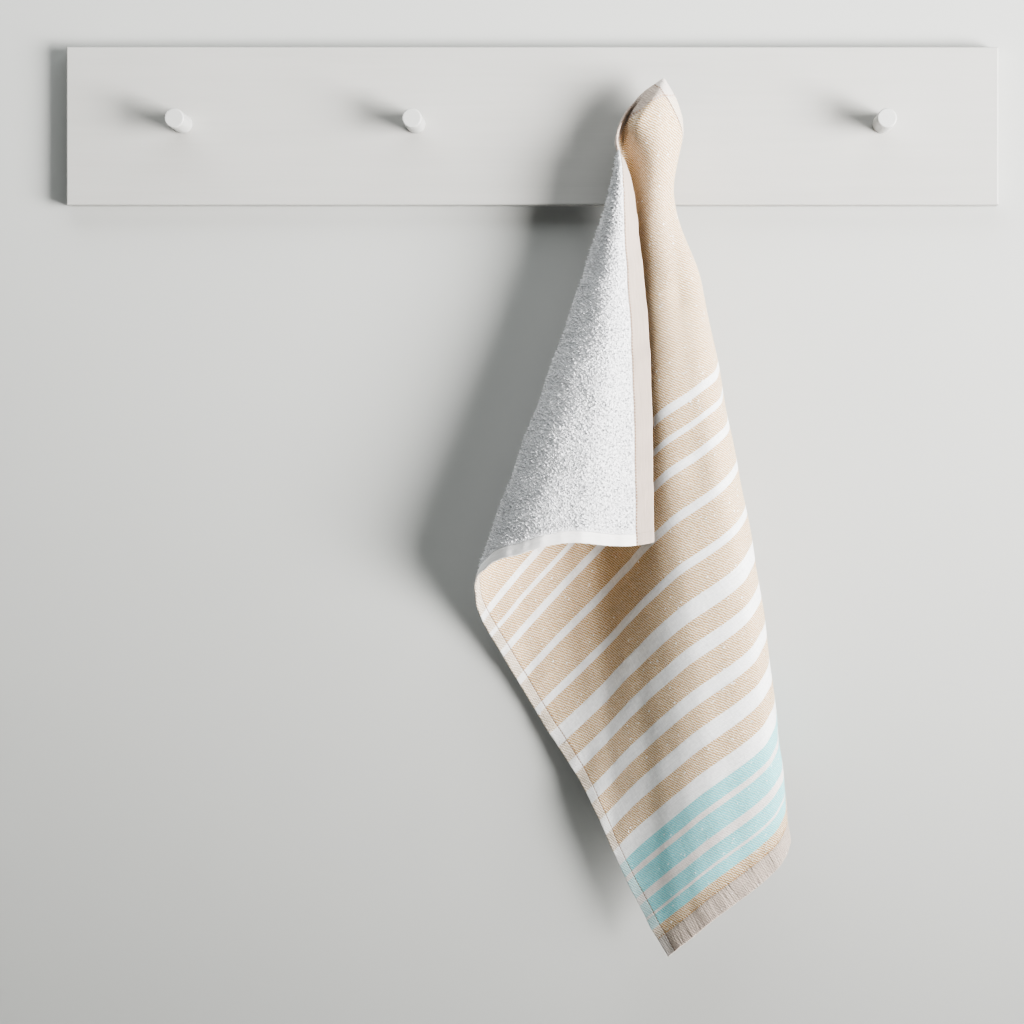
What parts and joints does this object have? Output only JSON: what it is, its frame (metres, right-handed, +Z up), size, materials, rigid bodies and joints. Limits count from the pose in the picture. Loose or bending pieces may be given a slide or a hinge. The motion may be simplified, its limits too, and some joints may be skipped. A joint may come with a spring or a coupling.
{
  "type": "hammam towel on a peg rail",
  "caption": "Striped hammam towel with a looped terry back, hung by a corner over a peg of a painted wooden wall rail, its near edge folded forward to show the terry.",
  "frame": {"origin": "on the rail's flat back, on the axis of the peg that holds the towel", "axes": "+Z up, +Y into the wall, -Y out to the room, +X to the right of someone who faces the rail"},
  "size_m": [0.968, 0.1199, 0.9362],
  "materials": {
    "towel_cloth": "cotton, beige and white striped twill with a turquoise border on the face and white terry loops behind",
    "rail_paint": "satin off-white paint on wood",
    "peg_paint": "satin white paint on turned wood"
  },
  "bodies": {
    "root": {"towel": "towel_cloth", "rail": "rail_paint", "peg_holding": "peg_paint", "peg_right": "peg_paint", "peg_left": "peg_paint", "peg_far_left": "peg_paint"}
  },
  "joints": []
}
